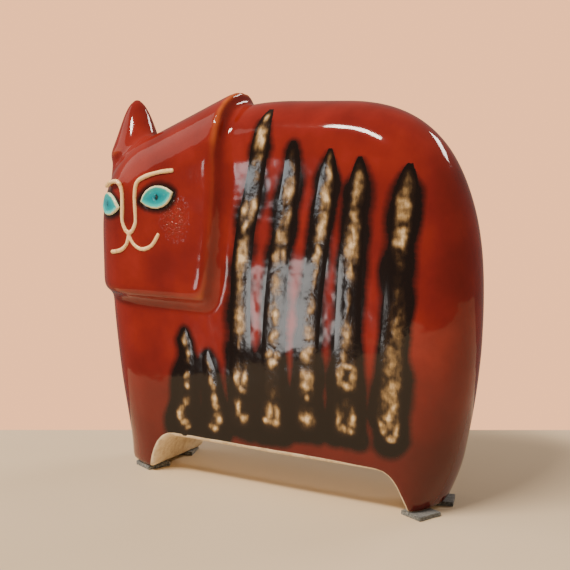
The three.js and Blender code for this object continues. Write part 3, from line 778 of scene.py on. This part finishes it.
def slip_stripe(side, number, skin_tree, material):
    """One stripe: a thin lumpy skin of slip bedded in the glaze of the body's side."""
    node = f"{side}_stripe_{number}"
    heights, middles, halves = stripe_course(node)
    top = heights[0] + STRIPE_MARGIN
    bottom = heights[-1] - STRIPE_MARGIN
    rows = int((top - bottom) / CELL_HEIGHT)
    columns = int(2 * (halves.max() + STRIPE_MARGIN) / CELL_WIDTH)
    outward = -1 if side == "near" else 1
    bm = bmesh.new()
    bmesh.ops.create_grid(bm, x_segments=columns, y_segments=rows, size=1)
    slip_layer = bm.verts.layers.float.new("slip")
    for vert in bm.verts:
        u = vert.co.x
        z = top + (bottom - top) * (1 - vert.co.y) / 2
        middle = np.interp(-z, -heights, middles)
        half = np.interp(-z, -heights, halves) + STRIPE_MARGIN
        end = min((top - z) / (13 * MM), (z - bottom) / (5 * MM), 1.0)
        half *= math.sqrt(max(0.0, 1 - (1 - end) ** 2)) * 0.96 + 0.04
        x = middle + u * half
        ray = Vector((x, MIDDLE_Y + outward * 60 * MM, z))
        hit, normal, _, _ = skin_tree.ray_cast(ray, Vector((0, -outward, 0)))
        place_in_noise = Vector((x, z, number * 0.05 * outward))
        drift = 1.5 * MM * noise.noise(place_in_noise / (6 * MM))
        lump = noise.noise(place_in_noise / (2.8 * MM))
        amount = max(0.0, slip_thickness(number, u * half + drift, z) * (1 + 0.6 * lump))
        border = max(0.0, min(1.0, (1 - abs(u)) * half / BORDER, 3 * end))
        border *= border * (3 - 2 * border)
        lift = (0.03 + 0.02 * min(amount, 1.1)) * MM * border - 0.01 * MM * (1 - border)
        vert.co = hit + normal * lift
        vert[slip_layer] = amount * border
    if outward > 0:
        bmesh.ops.reverse_faces(bm, faces=bm.faces)
    grown = bmesh.ops.extrude_face_region(bm, geom=bm.faces[:], use_keep_orig=True)
    under = [v for v in grown["geom"] if isinstance(v, bmesh.types.BMVert)]
    bmesh.ops.translate(bm, vec=(0, -outward * STRIP_DEPTH, 0), verts=under)
    bmesh.ops.recalc_face_normals(bm, faces=bm.faces)
    piece = link(f"slip_{node}", mesh_from(bm, node))
    shade_smooth(piece.data)
    piece.data.materials.append(material)
    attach(piece, "root")
    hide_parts(node)


# ---------------------------------------------------------------- face

def face_line(node, material):
    """A face line as a soft string of slip, a little fuller than its CAD tube."""
    bm = merged_copy([node])
    if node == "mouth_line":
        join_at_nose(bm)
    mesh = remeshed(mesh_from(bm, node), FINE_VOXEL, node)
    relax(mesh, 6)
    co = points_of(mesh)
    swell = (0.24 + 0.16 * lumps(co, 5 * MM, 4)) * MM
    put_points(mesh, co + normals_of(mesh) * swell[:, None])
    shade_smooth(mesh)
    piece = link(f"slip_{node}", mesh)
    piece.data.materials.append(material)
    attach(piece, "root")
    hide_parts(node)


def join_at_nose(bm):
    """Small dabs of slip that run the two nose lines into the mouth."""
    ends = []
    for line in ("far_brow_line", "near_brow_line"):
        string = merged_copy([line])
        lowest = min(v.co.z for v in string.verts)
        foot = [v.co for v in string.verts if v.co.z < lowest + 0.9 * MM]
        ends.append(sum(foot, Vector()) / len(foot))
        string.free()
    nose = (ends[0] + ends[1]) / 2 - Vector((0, 0, 1.5 * MM))
    for start, stop in ((ends[0], nose), (ends[1], nose)):
        for k in range(5):
            dab = Matrix.Translation(start.lerp(stop, k / 4))
            bmesh.ops.create_icosphere(bm, subdivisions=2, radius=0.95 * MM, matrix=dab)


def sharp_points(bm):
    """Points along the outer edge of an inlaid piece."""
    bm.normal_update()
    points = []
    for edge in bm.edges:
        if edge.calc_face_angle(0) < 0.8:
            continue
        if max(f.normal.y for f in edge.link_faces) > 0.6:
            continue
        a, b = (v.co for v in edge.verts)
        pieces = max(1, math.ceil((b - a).length / (0.3 * MM)))
        points += [a.lerp(b, i / pieces) for i in range(pieces + 1)]
    return points


def eye(node, material):
    """An eye: a raised slip rim with turquoise glaze pooled inside and a small dark pupil."""
    bm = merged_copy([node])
    outline = sharp_points(bm)
    mesh = remeshed(mesh_from(bm, node), FINE_VOXEL, node)
    relax(mesh, 5)
    co = points_of(mesh)
    inward = distance_to(outline, co)
    centre = sum(outline, Vector()) / len(outline)
    from_centre = np.linalg.norm((co - np.array(centre)) * (1, 0.6, 0.75), axis=1)
    normals = normals_of(mesh)
    facing = np.clip(-normals[:, 1] * 2, 0, 1)
    rim = np.exp(-((inward - 0.75 * MM) / (0.5 * MM)) ** 2)
    lift = 0.22 * MM * rim - 0.18 * MM * step(1.2 * MM, 2.4 * MM, inward)
    pit = np.exp(-(from_centre / (1.0 * MM)) ** 2)
    lift -= 0.25 * MM * pit
    put_points(mesh, co + normals * (lift * facing)[:, None])
    put_attribute(mesh, "inward", np.clip(inward / (4.5 * MM), 0, 1))
    put_attribute(mesh, "pupil", step(1.25 * MM, 0.5 * MM, from_centre + 0.5 * MM * lumps(co, 1.1 * MM, 6)))
    shade_smooth(mesh)
    piece = link(f"glazed_{node}", mesh)
    piece.data.materials.append(material)
    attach(piece, "root")
    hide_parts(node)


# ---------------------------------------------------------------- underside and pads

def belly_panel(material):
    """The clay panel that closes the body from below, its edges and vent softened."""
    bm = merged_copy(["belly_panel"])
    mesh = remeshed(mesh_from(bm, "panel"), 0.8 * MM, "panel")
    relax(mesh, 4)
    shade_smooth(mesh)
    piece = link("clay_belly_panel", mesh)
    piece.data.materials.append(material)
    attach(piece, "root")
    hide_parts("belly_panel")


def felt_pad(node, number, material):
    """A scissor-cut felt square, pressed thin, its edges furred."""
    mesh = remeshed(mesh_from(merged_copy([node]), node), 0.3 * MM, node)
    relax(mesh, 3)
    co = points_of(mesh)
    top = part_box(node)[1].z
    edge = step(0.1 * MM, 0.5 * MM, co[:, 2]) * step(top, top - 0.3 * MM, co[:, 2])
    fuzz = 0.22 * MM * lumps(co, 0.9 * MM, number) + 0.3 * MM * lumps(co, 6 * MM, number + 9)
    put_points(mesh, co + normals_of(mesh) * (fuzz * edge)[:, None])
    shade_smooth(mesh)
    piece = link(f"felt_{node}", mesh)
    piece.data.materials.append(material)
    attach(piece, "root")
    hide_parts(node)


# ---------------------------------------------------------------- assembly

make_camera()
make_stage()
skin = glazed_skin()
surface = bmesh.new()
surface.from_mesh(skin.data)
skin_tree = BVHTree.FromBMesh(surface)
slip_material = slip_relief_glaze()
for number in range(1, STRIPES + 1):
    for side in ("near", "far"):
        slip_stripe(side, number, skin_tree, slip_material)
surface.free()
cream = cream_slip()
for node in ("near_brow_line", "far_brow_line", "mouth_line"):
    face_line(node, cream)
turquoise = turquoise_glaze()
for node in ("near_eye", "far_eye"):
    eye(node, turquoise)
belly_panel(bare_clay())
felt = wool_felt()
for number, node in enumerate(("front_near_pad", "front_far_pad", "rear_near_pad", "rear_far_pad")):
    felt_pad(node, number, felt)
